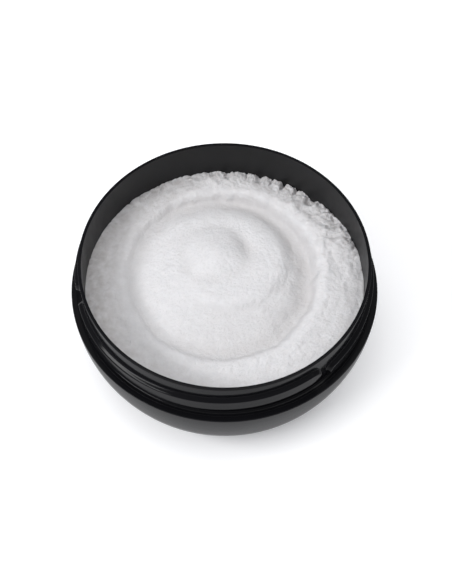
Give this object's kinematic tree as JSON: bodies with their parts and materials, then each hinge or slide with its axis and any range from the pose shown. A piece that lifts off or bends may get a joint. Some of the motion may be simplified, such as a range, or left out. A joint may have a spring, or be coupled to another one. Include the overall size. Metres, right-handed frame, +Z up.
{
  "type": "shaving soap tub",
  "caption": "Open round tub of soft swirled shaving soap: a black round-bottomed bowl with a screw neck and a flat base. It stands free and takes a screw lid.",
  "frame": {"origin": "middle of the base, at the level of the ring that the tub stands on", "axes": "+Z up along the tub's axis and out of its mouth; -Y is the side that the picture is taken from, and +X is to its right"},
  "size_m": [0.1036, 0.1036, 0.0465],
  "materials": {
    "bowl_plastic": "polished black moulding, mirror gloss",
    "cup_plastic": "black moulding, gloss outside and on the thread, satin inside",
    "soap": "soft white shaving soap, moist, swirled by hand, translucent at thin edges",
    "label_film": "blank matt film label"
  },
  "bodies": {
    "root": {"outer_bowl": "bowl_plastic", "threaded_cup": "cup_plastic", "shaving_soap": "soap", "base_label": "label_film"}
  },
  "joints": []
}
